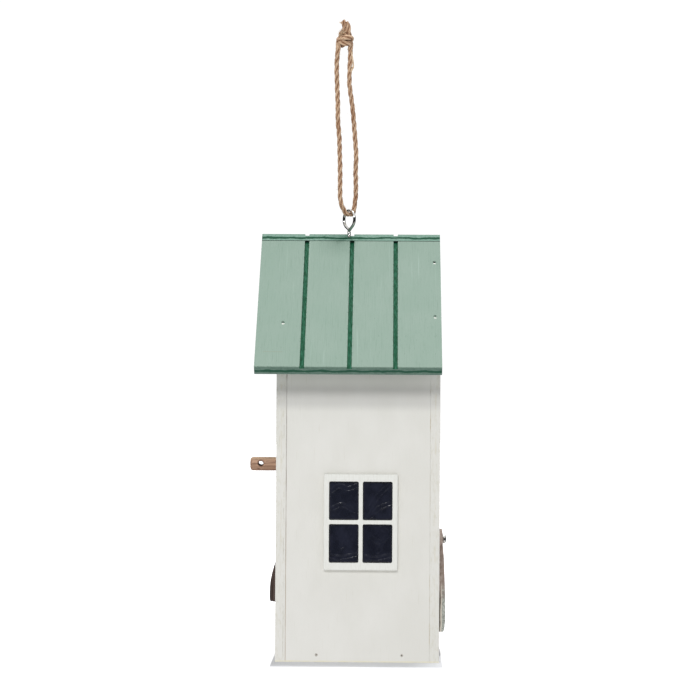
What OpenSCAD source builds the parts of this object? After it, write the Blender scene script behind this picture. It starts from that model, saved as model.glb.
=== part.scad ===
// Hanging plywood birdhouse: a gabled box with a grooved roof, a pivoting clean-out
// cover at the back and a rope loop through a screw eye at the ridge.
// Millimetres, +Z up, front towards -Y. The origin is the centre of the base.

/* [Body] */
// Outside width of the house, side wall to side wall
body_w = 120; // [110:1:135]
// Outside depth of the house, front panel to back panel
body_d = 101; // [92:1:110]
// Thickness of the plywood panels
ply = 6; // [5:0.5:7]
// Thickness of the front panel
front_ply = 6.4; // [5:0.1:7]

/* [Roof] */
// Thickness of the roof panels
roof_ply = 6.4; // [5:0.1:7]
// Height of the ridge above the base
ridge_z = 267.4; // [255:0.1:290]
// Distance down the right-hand 45 degree slope, from the ridge line to the eave
slope_len = 121.8; // [115:0.1:130]
// How far the roof reaches past the front panel
front_overhang = 12.6; // [2:0.1:20]
// How far the roof reaches past the back panel
back_overhang = 0.5; // [0:0.1:10]
// Width of a groove between two mock planks
groove_w = 2.7; // [1:0.1:4]
// Depth of a groove
groove_depth = 1.5; // [0.5:0.1:3]

/* [Front] */
// Height of the middle of the entrance hole
entrance_z = 146; // [142:1:165]
// Diameter of the entrance hole
entrance_d = 32; // [25:1:38]
// Height of the middle of the perch
perch_z = 119.8; // [112:0.1:122]
// Diameter of the perch
perch_d = 8.9; // [7:0.1:10]
// How far the perch stands out of the front panel
perch_out = 19.3; // [15:0.1:30]
// Diameter of the hole across the perch, near its end
perch_hole_d = 3.3; // [2:0.1:4]
// Height of the half-round ornament, if its flat foot weren't cut off
ornament_h = 51.8; // [44:0.1:56]
// How far the ornament stands out of the front panel
ornament_out = 6.3; // [5:0.1:9]

/* [Window] */
// Outside width of the window frame
window_w = 45.6; // [40:0.1:60]
// Outside height of the window frame
window_h = 59.2; // [50:0.1:80]
// How far the window frame stands out of the wall
window_t = 3; // [2:0.1:4]
// Height of the middle of the window
window_z = 86.2; // [70:0.1:110]

/* [Clean-out] */
// Height of the cover's pivot screw
pivot_z = 72.4; // [68:0.1:76]
// Diameter of the clean-out hole
cleanout_d = 32; // [25:1:34]

/* [Hidden] */
$fn = 48;

// Colours
wall_paint = [0.87, 0.86, 0.82];
roof_paint = [0.47, 0.66, 0.58];
pane_paint = [0.10, 0.11, 0.16];
jute = [0.66, 0.50, 0.35];
steel = [0.75, 0.75, 0.76];

// Body
half_w = body_w / 2;
half_d = body_d / 2;
under_drop = roof_ply * sqrt(2);   // ridge line down to the peak of the roof's underside
peak_z = ridge_z - under_drop;     // peak of the gable panels
wall_z = peak_z - half_w;          // outer top edge of the side walls
wall_in = half_w - ply;            // inner face of a side wall
gable_in = half_d - ply;           // inner face of the back panel
front_in = half_d - front_ply;     // inner face of the front panel
eps = 0.5;                         // how far a cutter runs past the face that it cuts

// Roof
roof_front = -half_d - front_overhang;
roof_back = half_d + back_overhang;
groove_y = [-34.1, -5.3, 22.6];

// Perch
perch_end = -half_d - perch_out;
perch_hole_y = perch_end + 6.9;
perch_hole_z = perch_z + 0.6;
perch_hole_tilt = 7.4;             // the hole was drilled sloping down towards +X
perch_round = 2;

// Ornament, half of a turned piece with a flat foot
ornament_z = 37.3;                 // height of its widest level
ornament_foot = 32.2;
ornament_axis = 5.6;               // how far behind the front face it was turned about
ornament_r = (pow(ornament_h / 2, 2) + pow(ornament_out, 2)) / (2 * ornament_out);

// Window
stile = 3.3;
rail = 4.65;
muntin = 2.5;
pane_w = (window_w - 2 * stile - muntin) / 2;
pane_h = (window_h - 2 * rail - muntin) / 2;
pane_t = 1;
pane_gap = 0.05;
window_y = 1.9;

// Clean-out cover
cover_gap = 0.3;
cover_top_r = 9;
cover_top_z = 70;
cover_low_r = 21;
cover_low_z = 34;
cleanout_z = 34;
cover_bottom = cover_low_z - cover_low_r;
cover_top = cover_top_z + cover_top_r;
pivot_flat = 3.2;                  // the cover's outer face at the pivot, off the back panel

// Pivot screw
screw_r = 1.5;
screw_clear = 0.06;
screw_pilot_r = 1.25;
head_r = 2.8;
head_h = 2;
head_y = half_d + pivot_flat + 0.3;

// Screw eye
eye_y = -7.3;
eye_z = 276.9;
eye_x = under_drop / 8;
eye_r = 5.8;                       // to the middle of the wire
eye_wire_r = 0.9;
eye_turn = 36;
eye_neck_deg = 40;                 // where the ring leaves its circle for the neck
eye_lap = 0.4;                     // how far the neck reaches into the ring
eye_stem_r = 1.15;
eye_neck_z = eye_z - eye_r / cos(eye_neck_deg);
eye_tip_z = 251;
eye_pilot_r = 0.9;

// Brads
brad_r = 0.6;
brad_head_r = 0.9;
brad_head_h = 0.6;
brad_len = 18;
brad_edge = 57;                    // middle of a side wall's edge
roof_brads_at = [[82.5, -46.8], [26.3, 47.1], [76.5, 47.1]];
panel_brads_z = [20, 100, 180];
floor_brads_y = [-25, 27.6];
floor_brads_z = 4.4;

// Rope: a closed loop that passes under the top of the eye and into the knot
rope_d = 3;
rope_sides = 8;
rope_route = [
    [1.1, -7.3, 280], [2, -8.5, 280.2], [3, -9.9, 281.2], [3.8, -11, 283.2],
    [4.6, -12.2, 286], [5, -13, 289.3], [5.2, -13.2, 294], [5, -13.2, 302], [5, -13.3, 310],
    [4.5, -13.6, 320], [4, -14, 330], [3.5, -14.9, 340], [3.5, -15, 350], [3, -15.4, 360],
    [3, -15.8, 370], [3.2, -15.8, 378], [3.8, -15.2, 385], [4.2, -14.8, 390.5],
    [3.4, -13.2, 394.2], [2, -10.8, 395.6], [0.6, -8.4, 394.2], [-0.2, -7, 390.5],
    [0.2, -7.2, 385], [1, -7.4, 378], [1.3, -7.7, 370], [1.5, -7.6, 363], [1, -6.6, 356],
    [0.5, -5.4, 347], [0, -4.5, 337], [-0.5, -3.8, 328], [-0.5, -3.1, 318], [-1, -3.4, 308],
    [-1.2, -3.2, 298], [-1.5, -3.3, 292], [-1.7, -3.8, 287.6], [-1.5, -4.2, 284.2],
    [-0.8, -4.8, 281.6], [0.2, -6.1, 280.2]
];
knot_at = [2, -10.6, 392];
knot_r = 5.6;
knot_half_h = 3.9;
tail_top = 12;                     // top of the tails above the middle of the knot

function unit(v) = v / norm(v);
function tangent(p, i) =
    unit(p[(i + 1) % len(p)] - p[(i + len(p) - 1) % len(p)]);
function ring(at, t, r, n) =
    let (u = unit(cross(t, [1, 0, 0])), w = cross(t, u))
    [for (k = [0 : n - 1]) at + r * (cos(360 * k / n) * u + sin(360 * k / n) * w)];

function arc(z, r, from, to, steps) =
    [for (i = [0 : steps])
        let (a = from + (to - from) * i / steps) [r * cos(a), z + r * sin(a)]];

// A closed tube swept along the points of a loop
module loop_tube(p, d, n) {
    count = len(p);
    points = [for (i = [0 : count - 1]) each ring(p[i], tangent(p, i), d / 2, n)];
    faces = [for (i = [0 : count - 1], k = [0 : n - 1])
        let (a = i * n, b = ((i + 1) % count) * n, m = (k + 1) % n)
        [a + k, a + m, b + m, b + k]];
    polyhedron(points, faces, convexity = 8);
}

// Extrudes an outline drawn in X and Z from y0 to y1
module along_y(y0, y1) {
    translate([0, y1, 0]) rotate([90, 0, 0]) linear_extrude(y1 - y0) children();
}

// Extrudes an outline drawn in Y and Z from x0 to x1
module along_x(x0, x1) {
    translate([x0, 0, 0]) rotate([90, 0, 90]) linear_extrude(x1 - x0) children();
}

module hole_y(x, z, r, y0, y1) {
    translate([x, y0 - eps, z]) rotate([-90, 0, 0]) cylinder(h = y1 - y0 + 2 * eps, r = r);
}

module gable(y0, y1) {
    along_y(y0, y1)
        polygon([[-half_w, 0], [half_w, 0], [half_w, wall_z], [0, peak_z], [-half_w, wall_z]]);
}

module front_panel() {
    color(wall_paint) difference() {
        gable(-half_d, -front_in);
        hole_y(0, entrance_z, entrance_d / 2, -half_d, -front_in);
        hole_y(0, perch_z, perch_d / 2, -half_d, -front_in);
    }
}

module back_panel() {
    color(wall_paint) difference() {
        gable(gable_in, half_d);
        hole_y(0, cleanout_z, cleanout_d / 2, gable_in, half_d);
        hole_y(0, pivot_z, screw_pilot_r, gable_in, half_d);
    }
}

module right_wall() {
    color(wall_paint) along_y(-front_in, gable_in)
        polygon([[wall_in, 0], [half_w, 0], [half_w, wall_z], [wall_in, wall_z + ply]]);
}

module left_wall() {
    mirror([1, 0, 0]) right_wall();
}

module floor_panel() {
    color(wall_paint) translate([-wall_in, -front_in, 0])
        cube([2 * wall_in, front_in + gable_in, ply]);
}

// Places its children on the right-hand slope: X runs down it from the ridge, Z is outward
module on_slope() {
    translate([0, 0, ridge_z]) rotate([0, 45, 0]) children();
}

// A grooved panel from one distance down the slope to another
module roof_panel(from, to) {
    difference() {
        translate([from, roof_front, -roof_ply])
            cube([to - from, roof_back - roof_front, roof_ply]);
        for (y = groove_y)
            translate([from - eps, y - groove_w / 2, -groove_depth])
                cube([to - from + 2 * eps, groove_w, groove_depth + eps]);
    }
}

module eye_pilot() {
    translate([eye_x, eye_y, eye_tip_z - eps])
        cylinder(h = ridge_z - eye_tip_z, r = eye_pilot_r);
}

module roof_panel_right() {
    color(roof_paint) difference() {
        on_slope() roof_panel(roof_ply, slope_len);
        eye_pilot();
    }
}

// The left-hand panel is the same size and laps the top edge of the right-hand one
module roof_panel_left() {
    color(roof_paint) difference() {
        mirror([1, 0, 0]) on_slope() roof_panel(0, slope_len - roof_ply);
        eye_pilot();
    }
}

// Places its children at the lower corner of each of the four panes
module each_pane() {
    for (i = [0, 1], j = [0, 1])
        translate([window_y - window_w / 2 + stile + i * (pane_w + muntin),
                   window_z - window_h / 2 + rail + j * (pane_h + muntin)])
            children();
}

module window_frame_right() {
    color(wall_paint) along_x(half_w, half_w + window_t) difference() {
        translate([window_y - window_w / 2, window_z - window_h / 2])
            square([window_w, window_h]);
        each_pane() square([pane_w, pane_h]);
    }
}

module window_panes_right() {
    color(pane_paint) along_x(half_w, half_w + pane_t) each_pane()
        translate([pane_gap, pane_gap])
            square([pane_w - 2 * pane_gap, pane_h - 2 * pane_gap]);
}

module window_frame_left() {
    mirror([1, 0, 0]) window_frame_right();
}

module window_panes_left() {
    mirror([1, 0, 0]) window_panes_right();
}

// A dowel with a rounded end, glued into its hole in the front panel
module perch() {
    length = perch_out + front_ply;
    color([0.62, 0.44, 0.34]) difference() {
        translate([0, -front_in, perch_z]) rotate([90, 0, 0]) rotate_extrude() union() {
            square([perch_d / 2, length - perch_round]);
            square([perch_d / 2 - perch_round, length]);
            translate([perch_d / 2 - perch_round, length - perch_round])
                intersection() {
                    circle(perch_round);
                    square(perch_round);
                }
        }
        translate([0, perch_hole_y, perch_hole_z]) rotate([0, 90 + perch_hole_tilt, 0])
            cylinder(h = 2 * perch_d, r = perch_hole_d / 2, center = true);
    }
}

// A long turned barrel, split along its length and cut flat at its foot
module front_ornament() {
    widest = ornament_out + ornament_axis;
    color([0.24, 0.17, 0.14]) intersection() {
        translate([0, ornament_axis - half_d, ornament_z])
            rotate_extrude($fn = 96) intersection() {
                translate([widest - ornament_r, 0]) circle(ornament_r, $fn = 240);
                translate([0, -ornament_h]) square([2 * widest, 2 * ornament_h]);
            }
        translate([-widest, -half_d - widest, ornament_foot])
            cube([2 * widest, widest, ornament_h]);
    }
}

// A small circle over a large one, joined by the straight sides that touch both
module cover_outline() {
    lean = asin((cover_low_r - cover_top_r) / (cover_top_z - cover_low_z));
    polygon([each arc(cover_low_z, cover_low_r, 180 - lean, 360 + lean, 40),
             each arc(cover_top_z, cover_top_r, lean, 180 - lean, 20)]);
}

// The cover's side profile: thin at the pivot and thicker low down
module cover_profile() {
    translate([half_d, 0]) polygon([
        [cover_gap, cover_bottom], [3.9, cover_bottom], [4.5, 15.6], [4.85, 22.4],
        [4.85, 30], [4.6, 39.7], [4.35, 49.3], [4, 59.6], [3.6, 66],
        [pivot_flat, 69], [pivot_flat, 76], [2.8, cover_top], [cover_gap, cover_top]]);
}

module cleanout_cover() {
    color([0.55, 0.47, 0.42]) difference() {
        intersection() {
            along_y(half_d, half_d + 6) cover_outline();
            along_x(-cover_low_r, cover_low_r) cover_profile();
        }
        hole_y(0, pivot_z, screw_r + screw_clear, half_d, half_d + 6);
    }
}

// Pan-head screw that the cover swings on
module pivot_screw() {
    tip_y = gable_in + 0.5;
    dome = 1.2;
    color(steel) translate([0, tip_y, pivot_z]) rotate([-90, 0, 0]) difference() {
        rotate_extrude() union() {
            square([screw_r, head_y - tip_y + eps]);
            translate([0, head_y - tip_y]) square([head_r, head_h - dome]);
            translate([0, head_y - tip_y + head_h - dome]) square([head_r - dome, dome]);
            translate([head_r - dome, head_y - tip_y + head_h - dome]) intersection() {
                circle(dome);
                square(dome);
            }
        }
        for (turn = [0, 90]) rotate([0, 0, turn + 20])
            translate([-1.5, -0.3, head_y - tip_y + head_h - 1])
                cube([3, 0.6, 1 + eps]);
    }
}

// Wire ring with a neck, a stem and a pointed shank in the roof
module screw_eye() {
    ring_deg = 360 - 2 * eye_neck_deg;
    color(steel) translate([eye_x, eye_y, 0]) rotate([0, 0, eye_turn]) {
        translate([0, 0, eye_z]) rotate([90, 0, 0]) rotate([0, 0, eye_neck_deg - 90])
            rotate_extrude(angle = ring_deg)
                translate([eye_r, 0]) circle(eye_wire_r, $fn = 24);
        // the two sides of the neck start inside the ends of the ring
        for (s = [-1, 1])
            translate([s * eye_r * sin(eye_neck_deg), 0, eye_z - eye_r * cos(eye_neck_deg)])
                rotate([0, -s * (90 + eye_neck_deg), 0]) translate([0, 0, -eye_lap])
                    cylinder(h = eye_r * tan(eye_neck_deg) + eye_lap,
                             r = eye_wire_r - 0.05, $fn = 24);
        translate([0, 0, eye_neck_z]) sphere(eye_stem_r + 0.2, $fn = 24);
        translate([0, 0, eye_tip_z + 2])
            cylinder(h = eye_neck_z - eye_tip_z - 2, r = eye_stem_r, $fn = 24);
        translate([0, 0, eye_tip_z]) cylinder(h = 2.1, r1 = 0.2, r2 = eye_stem_r - 0.1, $fn = 24);
    }
}

module rope_loop() {
    color(jute) loop_tube(rope_route, rope_d, rope_sides);
}

// The overhand knot that joins the rope's ends, with its two short tails
module rope_knot() {
    tail_r = rope_d / 2;
    color(jute) translate(knot_at) {
        rotate_extrude()
            polygon([for (a = [-90 : 15 : 90]) [knot_r * cos(a), knot_half_h * sin(a)]]);
        for (s = [-1, 1]) translate([0, 1 + s * 0.9 * tail_r, 0])
            cylinder(h = tail_top, r = tail_r, $fn = 24);
    }
}

// A headed brad that points down -Z, with its head flush at z = 0
module brad() {
    translate([0, 0, -brad_len]) cylinder(h = brad_len, r = brad_r, $fn = 16);
    translate([0, 0, -brad_head_h]) cylinder(h = brad_head_h, r = brad_head_r, $fn = 16);
}

module roof_brads() {
    color(steel) for (side = [0, 1], at = roof_brads_at) mirror([side, 0, 0])
        on_slope() translate([at[0], at[1], 0]) brad();
}

// Brads through a gable panel into the edges of both side walls
module panel_brads() {
    for (x = [-brad_edge, brad_edge], z = panel_brads_z)
        translate([x, -half_d, z]) rotate([90, 0, 0]) brad();
}

module front_brads() {
    color(steel) panel_brads();
}

module back_brads() {
    color(steel) mirror([0, 1, 0]) panel_brads();
}

module floor_brads() {
    color(steel) for (side = [0, 1], y = floor_brads_y) mirror([side, 0, 0])
        translate([half_w, y, floor_brads_z]) rotate([0, 90, 0]) brad();
}

front_panel();
back_panel();
left_wall();
right_wall();
floor_panel();
roof_panel_left();
roof_panel_right();
window_frame_left();
window_frame_right();
window_panes_left();
window_panes_right();
perch();
front_ornament();
cleanout_cover();
pivot_screw();
screw_eye();
rope_loop();
rope_knot();
roof_brads();
front_brads();
back_brads();
floor_brads();
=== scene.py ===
import math
import random

import bpy
from mathutils import Matrix, Vector, noise


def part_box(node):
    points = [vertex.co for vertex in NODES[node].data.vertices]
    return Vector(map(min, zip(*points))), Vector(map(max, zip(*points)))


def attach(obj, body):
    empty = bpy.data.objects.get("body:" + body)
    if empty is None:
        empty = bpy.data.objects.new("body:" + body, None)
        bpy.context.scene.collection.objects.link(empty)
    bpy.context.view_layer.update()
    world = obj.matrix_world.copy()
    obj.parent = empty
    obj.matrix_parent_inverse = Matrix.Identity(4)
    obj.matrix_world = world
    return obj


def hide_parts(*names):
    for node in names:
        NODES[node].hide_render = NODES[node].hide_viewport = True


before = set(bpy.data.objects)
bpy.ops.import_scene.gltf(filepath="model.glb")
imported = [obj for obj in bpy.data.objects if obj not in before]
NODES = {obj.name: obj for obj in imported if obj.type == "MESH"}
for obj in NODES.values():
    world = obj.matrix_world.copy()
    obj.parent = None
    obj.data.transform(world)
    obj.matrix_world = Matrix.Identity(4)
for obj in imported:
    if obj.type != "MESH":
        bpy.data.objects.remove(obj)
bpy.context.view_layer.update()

# The looks of a hanging plywood birdhouse. Metres, +Z up, front towards -Y.
# The frame's nodes keep their shape, and what is round, soft or hand made is built here.

MM = 0.001

# Sizes read from the frame
HALF_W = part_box("front_panel")[1].x
HALF_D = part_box("back_panel")[1].y
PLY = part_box("floor_panel")[1].z
GABLE_IN = HALF_D - PLY
FRONT_IN = -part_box("right_wall")[0].y
RIDGE_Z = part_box("roof_panel_left")[1].z
ROOF_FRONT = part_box("roof_panel_left")[0].y
PIVOT_Z = (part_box("pivot_screw")[0].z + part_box("pivot_screw")[1].z) / 2

# Sizes and places that the frame's boxes don't give
ROOF_PLY = 6.4 * MM
GROOVES_Y = (-34.1 * MM, -5.3 * MM, 22.6 * MM)
GROOVE_W = 2.7 * MM
SLOPE_LEN = 121.8 * MM
GROOVE_DEPTH = 1.5 * MM
ENTRANCE_Z = 146 * MM
CLEANOUT_Z = 34 * MM
HOLE_R = 16 * MM
PERCH_HOLE_R = 1.65 * MM
PERCH_HOLE_TILT = math.radians(7.4)

PERCH_HOLE_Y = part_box("perch")[0].y + 6.9 * MM
PERCH_HOLE_Z = (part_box("perch")[0].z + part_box("perch")[1].z) / 2 + 0.6 * MM
MUNTIN = 2.5 * MM

X, Y, Z = Vector((1, 0, 0)), Vector((0, 1, 0)), Vector((0, 0, 1))
SLANT = math.sqrt(0.5)   # the roof falls at 45 degrees


# Camera

def add_camera():
    """Level with the window and square to the right-hand wall."""
    data = bpy.data.cameras.new("camera")
    data.lens = 121.2
    camera = bpy.data.objects.new("camera", data)
    aim = Vector((-1, -0.01621, 0.01698)).to_track_quat("-Z", "Y").to_matrix()
    roll = Matrix.Rotation(math.radians(0.35), 3, "Z")
    camera.rotation_euler = (aim @ roll).to_euler()
    camera.location = (1.512, 0.0182, 0.1674)
    bpy.context.scene.collection.objects.link(camera)
    bpy.context.scene.camera = camera


# Shading helpers

def srgb(red, green, blue):
    """A colour given as 0 to 255 on screen, as the shader wants it."""
    def linear(value):
        share = value / 255
        return share / 12.92 if share <= 0.04045 else ((share + 0.055) / 1.055) ** 2.4
    return (linear(red), linear(green), linear(blue), 1.0)


class Nodes:
    """The nodes of a shader tree, with one short call for each."""

    def __init__(self, tree):
        self.tree = tree

    def node(self, kind, inputs=(), **settings):
        made = self.tree.nodes.new(kind)
        for key, value in settings.items():
            setattr(made, key, value)
        for key, value in dict(inputs).items():
            self.feed(made.inputs[key], value)
        return made

    def feed(self, socket, value):
        if isinstance(value, bpy.types.NodeSocket):
            self.tree.links.new(value, socket)
        else:
            socket.default_value = value

    def math(self, operation, a, b=0.0):
        return self.node("ShaderNodeMath", {0: a, 1: b}, operation=operation).outputs[0]

    def minus(self, a, b):
        return self.math("SUBTRACT", a, b)

    def far(self, value):
        """A value without its sign."""
        return self.math("ABSOLUTE", value)

    def times(self, *values):
        product = values[0]
        for value in values[1:]:
            product = self.math("MULTIPLY", product, value)
        return product

    def sum(self, *values):
        total = values[0]
        for value in values[1:]:
            total = self.math("ADD", total, value)
        return total

    def ramp(self, value, low, high, to_low=0.0, to_high=1.0):
        """A smooth step from to_low at low to to_high at high."""
        return self.node("ShaderNodeMapRange", {
            "Value": value, "From Min": low, "From Max": high, "To Min": to_low,
            "To Max": to_high}, interpolation_type="SMOOTHSTEP").outputs["Result"]


class Shader(Nodes):
    """A Principled material. Its places are the piece's own, or a named attribute's."""

    def __init__(self, name, attribute=None, **sockets):
        self.material = bpy.data.materials.new(name)
        self.material.use_nodes = True
        super().__init__(self.material.node_tree)
        self.bsdf = self.tree.nodes["Principled BSDF"]
        for socket, value in sockets.items():
            self.bsdf.inputs[socket.replace("_", " ")].default_value = value
        if attribute:
            own = self.node("ShaderNodeAttribute", attribute_name=attribute)
            self.place = own.outputs["Vector"]
        else:
            self.place = self.node("ShaderNodeTexCoord").outputs["Object"]

    def along(self, direction, start=0.0):
        """How far a point lies along a direction, past start."""
        dot = self.node("ShaderNodeVectorMath", {0: self.place, 1: direction},
                        operation="DOT_PRODUCT").outputs["Value"]
        return self.minus(dot, start)

    def triple(self, x, y, z):
        return self.node("ShaderNodeCombineXYZ", {0: x, 1: y, 2: z}).outputs[0]

    def noise(self, scale, place=None, detail=2.0, rough=0.5, warp=0.0):
        """Noise with its own scale along each axis, in features per metre."""
        spread = self.node("ShaderNodeVectorMath", {0: place or self.place, 1: scale},
                           operation="MULTIPLY").outputs[0]
        return self.node("ShaderNodeTexNoise", {
            "Vector": spread, "Scale": 1.0, "Detail": detail, "Roughness": rough,
            "Distortion": warp}).outputs["Fac"]

    def near(self, value, middle, half_width, soft):
        """1 where value is within half_width of middle, falling to 0 over soft."""
        gap = self.far(self.minus(value, middle))
        return self.ramp(gap, half_width, half_width + soft, 1.0, 0.0)

    def mix(self, share, a, b):
        return self.node("ShaderNodeMix", {0: share, 6: a, 7: b}, data_type="RGBA").outputs[2]

    def shade(self, share, colour, darker):
        """Multiplies a colour by darker where share is 1."""
        return self.node("ShaderNodeMix", {0: share, 6: colour, 7: darker},
                         data_type="RGBA", blend_type="MULTIPLY").outputs[2]

    def colour(self, colour):
        self.feed(self.bsdf.inputs["Base Color"], colour)

    def roughness(self, value):
        self.feed(self.bsdf.inputs["Roughness"], value)

    def bump(self, height, depth):
        """Adds relief of the given depth in metres for a height from 0 to 1."""
        made = self.node("ShaderNodeBump", {"Height": self.times(height, depth),
                                            "Distance": 1.0, "Strength": 1.0})
        before = self.bsdf.inputs["Normal"].links
        if before:
            self.feed(made.inputs["Normal"], before[0].from_socket)
        self.feed(self.bsdf.inputs["Normal"], made.outputs["Normal"])


# Plywood

def raw_ply(s, depth):
    """Bare plywood, in layers by depth below its face, in metres."""
    wavy = s.math("ADD", depth, s.ramp(s.noise((60, 60, 60)), 0, 1, -0.3 * MM, 0.3 * MM))
    grain = s.noise((60, 900, 900), detail=4)
    pale = s.mix(grain, srgb(196, 164, 122), srgb(222, 196, 156))
    layer = s.near(wavy, PLY / 2, PLY / 7, 0.2 * MM)
    return s.mix(layer, pale, srgb(150, 112, 78))


def wall_paint():
    """Off-white paint on plywood. The band under the eave adds to the soft shadow that falls
    there."""
    s = Shader("wall_paint", Specular_IOR_Level=0.25)
    depth = s.far(s.along(Y))
    cloud = s.noise((45, 45, 25), detail=3)
    grain = s.noise((1100, 1100, 60), detail=3)
    colour = s.mix(s.ramp(cloud, 0.3, 0.7), srgb(228, 227, 221), srgb(233, 232, 227))
    colour = s.shade(s.ramp(grain, 0.62, 0.8, 0.0, 0.5), colour, srgb(240, 239, 232))

    on_side = s.ramp(s.far(s.along(X)), HALF_W - 0.6 * MM, HALF_W - 0.1 * MM)
    joint_at = s.ramp(s.along(Y), -1 * MM, 1 * MM, FRONT_IN, GABLE_IN)
    off_joint = s.minus(depth, joint_at)
    strip = s.times(on_side, s.ramp(off_joint, 0.0, 0.4 * MM))
    blotch = s.ramp(s.noise((700, 500, 220), detail=4, rough=0.65), 0.45, 0.75)
    colour = s.shade(s.times(strip, blotch, 0.6), colour, srgb(238, 236, 226))
    lines = s.ramp(s.noise((100, 1600, 70), detail=2), 0.6, 0.75)
    colour = s.shade(s.times(strip, lines, 0.5), colour, srgb(232, 228, 214))
    colour = dirty_joints(s, colour, off_joint, on_side)
    colour = worn_edges(s, colour)
    under_eave = s.times(s.near(s.along(Z), 163 * MM, 3 * MM, 7 * MM), on_side)
    colour = s.shade(under_eave, colour, srgb(233, 233, 234))
    colour = s.mix(bare_inside(s), colour, raw_ply(s, s.minus(HALF_D, depth)))
    s.colour(colour)

    s.roughness(s.ramp(cloud, 0.3, 0.7, 0.5, 0.62))
    s.bump(grain, 0.05 * MM)
    s.bump(s.noise((260, 260, 180), detail=3), 0.12 * MM)
    s.bump(s.times(strip, s.noise((900, 900, 500), detail=4)), 0.12 * MM)
    return s.material


def front_half(s):
    return s.ramp(s.along(Y), -1 * MM, 1 * MM, 1.0, 0.0)


def dirty_joints(s, colour, off_joint, on_side):
    """Grime in the joints of the gables with the side walls, dark at the front and high up."""
    front = front_half(s)
    patchy = s.ramp(s.noise((300, 300, 40), detail=4, rough=0.6), 0.38, 0.6, 0.25, 1.0)
    joint = s.times(s.near(off_joint, 0.0, 0.08 * MM, 0.3 * MM), on_side, patchy)
    high = s.ramp(s.along(Z), 0.03, 0.16)
    grime = s.mix(high, srgb(206, 196, 182), srgb(142, 130, 122))
    colour = s.mix(s.times(joint, front), colour, grime)
    gone = s.ramp(s.noise((300, 300, 60), detail=4, rough=0.7), 0.47, 0.62)
    back_joint = s.times(joint, gone, s.minus(1.0, front))
    colour = s.mix(back_joint, colour, srgb(206, 196, 170))
    seam = s.times(s.near(off_joint, 1.5 * MM, 0.1 * MM, 0.35 * MM), on_side, front, gone)
    colour = s.mix(s.times(seam, 0.5), colour, srgb(176, 172, 158))
    middle = s.times(s.near(off_joint, 3.2 * MM, 0.2 * MM, 0.5 * MM), on_side, gone)
    return s.mix(s.times(middle, 0.35), colour, srgb(214, 206, 180))


def worn_edges(s, colour):
    """Olive specks on the front's outer edges, and a yellowish foot."""
    z = s.along(Z)
    edge = s.times(s.ramp(s.far(s.along(Y)), HALF_D - 1.3 * MM, HALF_D - 0.3 * MM),
                   s.ramp(s.far(s.along(X)), HALF_W - 2.5 * MM, HALF_W - 0.4 * MM),
                   front_half(s), s.ramp(z, 0.06, 0.15, 0.12, 0.7))
    specks = s.ramp(s.noise((900, 900, 420), detail=4, rough=0.7), 0.54, 0.66)
    colour = s.mix(s.times(edge, specks), colour, srgb(170, 164, 134))
    foot = s.times(s.ramp(z, 0.4 * MM, 1.4 * MM, 1.0, 0.0),
                   s.ramp(s.noise((200, 200, 600), detail=3), 0.3, 0.6, 0.5, 1.0))
    return s.mix(foot, colour, srgb(232, 228, 206))


def bare_inside(s):
    """1 on the bare wood: the inside of the house and the bores of its two holes."""
    x, z = s.along(X), s.along(Z)
    width, depth = s.far(x), s.far(s.along(Y))
    inside = s.times(s.ramp(width, HALF_W - PLY, HALF_W - PLY + 0.1 * MM, 1.0, 0.0),
                     s.ramp(depth, FRONT_IN, FRONT_IN + 0.1 * MM, 1.0, 0.0))
    bore = s.math("MAXIMUM", hole_mask(s, x, z, ENTRANCE_Z), hole_mask(s, x, z, CLEANOUT_Z))
    buried = s.ramp(depth, HALF_D - 0.9 * MM, HALF_D - 0.6 * MM, 1.0, 0.0)
    return s.math("MAXIMUM", inside, s.times(bore, buried))


def hole_mask(s, x, z, middle_z):
    """1 on the bore of a round hole through the front or back."""
    up = s.minus(z, middle_z)
    radius = s.math("SQRT", s.sum(s.times(x, x), s.times(up, up)))
    return s.ramp(radius, HOLE_R + 0.1 * MM, HOLE_R + 0.2 * MM, 1.0, 0.0)


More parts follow.
